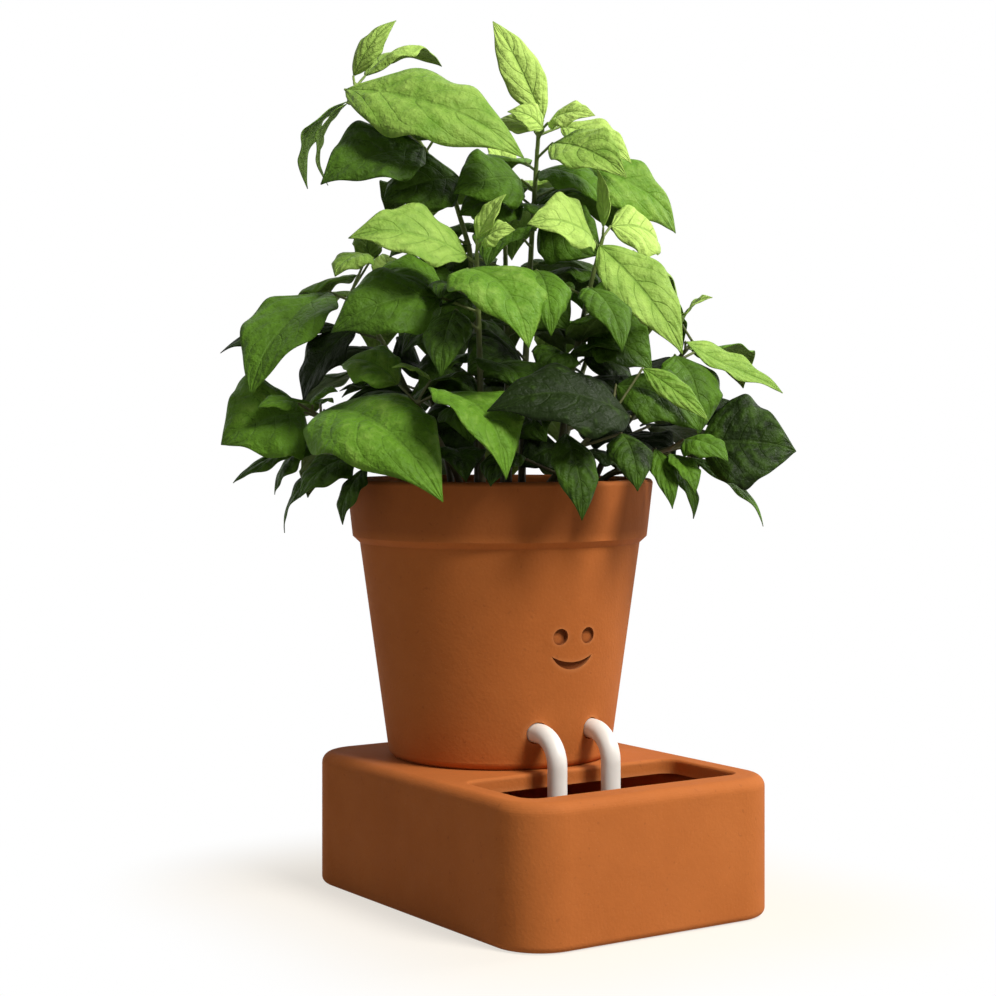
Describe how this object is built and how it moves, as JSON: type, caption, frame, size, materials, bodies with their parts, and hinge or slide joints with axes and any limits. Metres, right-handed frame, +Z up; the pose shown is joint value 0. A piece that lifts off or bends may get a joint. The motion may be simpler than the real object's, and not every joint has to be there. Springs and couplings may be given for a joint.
{
  "type": "self watering planter",
  "caption": "Terracotta planter like a bather: a smiling pot of basil sits on a box-shaped water reservoir and dips its white wick legs into the open pool.",
  "frame": {"origin": "centre of the reservoir's underside, on the surface it stands on", "axes": "+Z up; -Y towards the front, where the face, the legs and the pool are; +X to the viewer's right as the face is looked at"},
  "size_m": [0.2433, 0.2476, 0.398],
  "materials": {
    "terracotta": "matte, fine-grained, unglazed fired clay",
    "white_silicone": "satin white silicone",
    "cotton_wick": "braided undyed cotton",
    "screen_mesh": "dark plastic mesh",
    "potting_soil": "crumbly moist potting mix",
    "basil_stem": "green, slightly hairy stem",
    "basil_leaf": "soft green leaf with a faint sheen"
  },
  "bodies": {
    "reservoir": {"reservoir": "terracotta"},
    "pot": {"pot": "terracotta", "leg_sleeve_left": "white_silicone", "leg_sleeve_right": "white_silicone", "wick_left": "cotton_wick", "wick_right": "cotton_wick", "drain_screen": "screen_mesh"},
    "plant": {"potting_soil": "potting_soil", "basil_stem_1": "basil_stem", "basil_stem_2": "basil_stem", "basil_stem_3": "basil_stem", "basil_stem_4": "basil_stem", "basil_stem_5": "basil_stem", "basil_stem_6": "basil_stem", "basil_stem_7": "basil_stem", "basil_stem_8": "basil_stem", "basil_stem_9": "basil_stem", "basil_stem_10": "basil_stem", "basil_stem_11": "basil_stem", "basil_stem_12": "basil_stem", "basil_stem_13": "basil_stem", "basil_stem_14": "basil_stem", "basil_leaves_1": "basil_leaf", "basil_leaves_2": "basil_leaf", "basil_leaves_3": "basil_leaf", "basil_leaves_4": "basil_leaf", "basil_leaves_5": "basil_leaf", "basil_leaves_6": "basil_leaf", "basil_leaves_7": "basil_leaf", "basil_leaves_8": "basil_leaf", "basil_leaves_9": "basil_leaf", "basil_leaves_10": "basil_leaf", "basil_leaves_11": "basil_leaf", "basil_leaves_12": "basil_leaf", "basil_leaves_13": "basil_leaf", "basil_leaves_14": "basil_leaf"}
  },
  "joints": [
    {"name": "pot_lift", "type": "slide", "parent": "reservoir", "child": "pot", "axis": [0, 0, 1], "range_m": [0, 0.12]},
    {"name": "plant_lift", "type": "slide", "parent": "pot", "child": "plant", "axis": [0, 0, 1], "range_m": [0, 0.14]}
  ]
}
